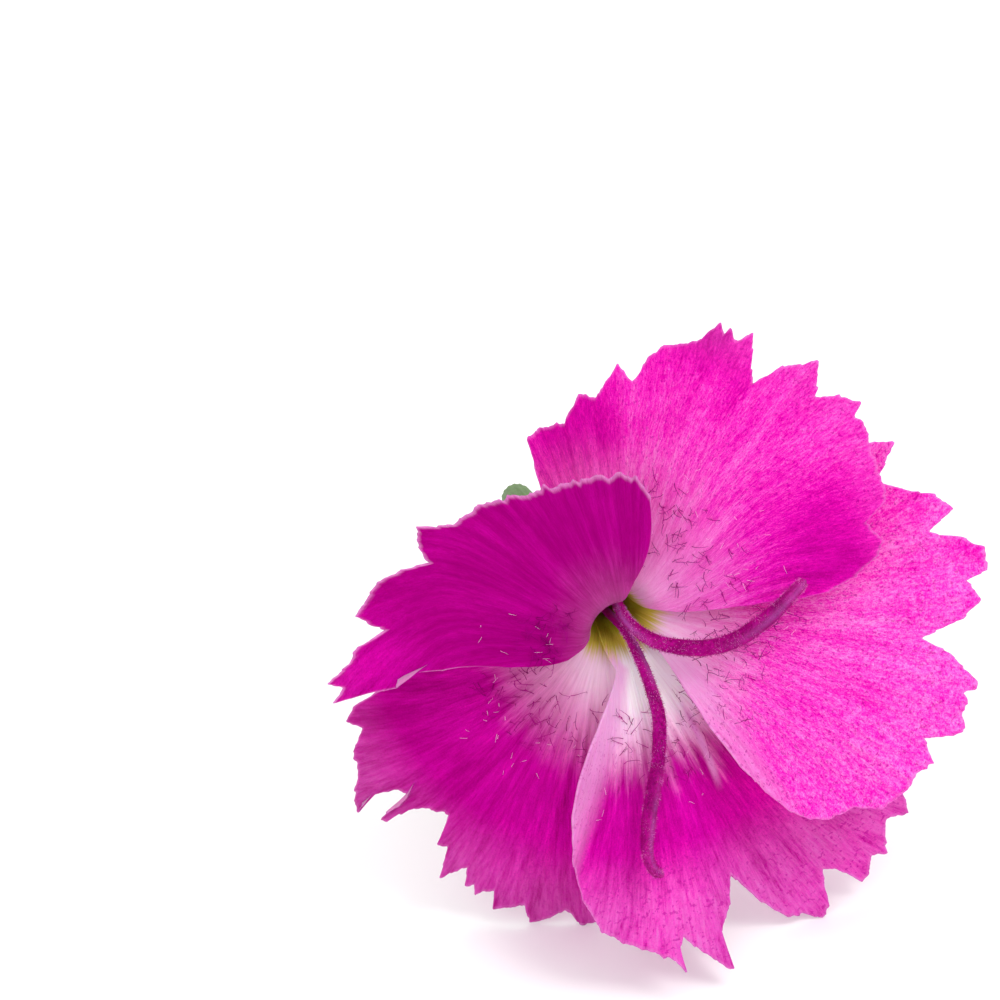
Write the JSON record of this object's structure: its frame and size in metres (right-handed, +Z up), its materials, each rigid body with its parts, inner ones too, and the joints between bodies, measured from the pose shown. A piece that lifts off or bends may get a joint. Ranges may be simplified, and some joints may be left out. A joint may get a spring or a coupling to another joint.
{
  "type": "cut carnation flower",
  "caption": "Single-flowered magenta-pink carnation with toothed petals, green calyx and a short cut stem, lying on a surface.",
  "frame": {"origin": "on the surface that the flower lies on, under the middle of its box", "axes": "+Z up from the surface; -Y towards the side that the open flower faces, so the stem runs back along +Y; +X to the right of the open flower as one looks into it"},
  "size_m": [0.0416, 0.0626, 0.0364],
  "materials": {
    "petal": "soft satin petal skin, magenta pink with darker flecks",
    "pistil": "velvety dark magenta",
    "calyx": "matt green, finely ribbed",
    "bract": "matt green with papery edge",
    "stem": "waxy grey-green"
  },
  "bodies": {
    "root": {"petal_left": "petal", "petal_top": "petal", "petal_right": "petal", "petal_bottom": "petal", "petal_lower_left": "petal", "pistil": "pistil", "calyx": "calyx", "bract_1": "bract", "bract_2": "bract", "bract_3": "bract", "bract_4": "bract", "stem": "stem"}
  },
  "joints": []
}
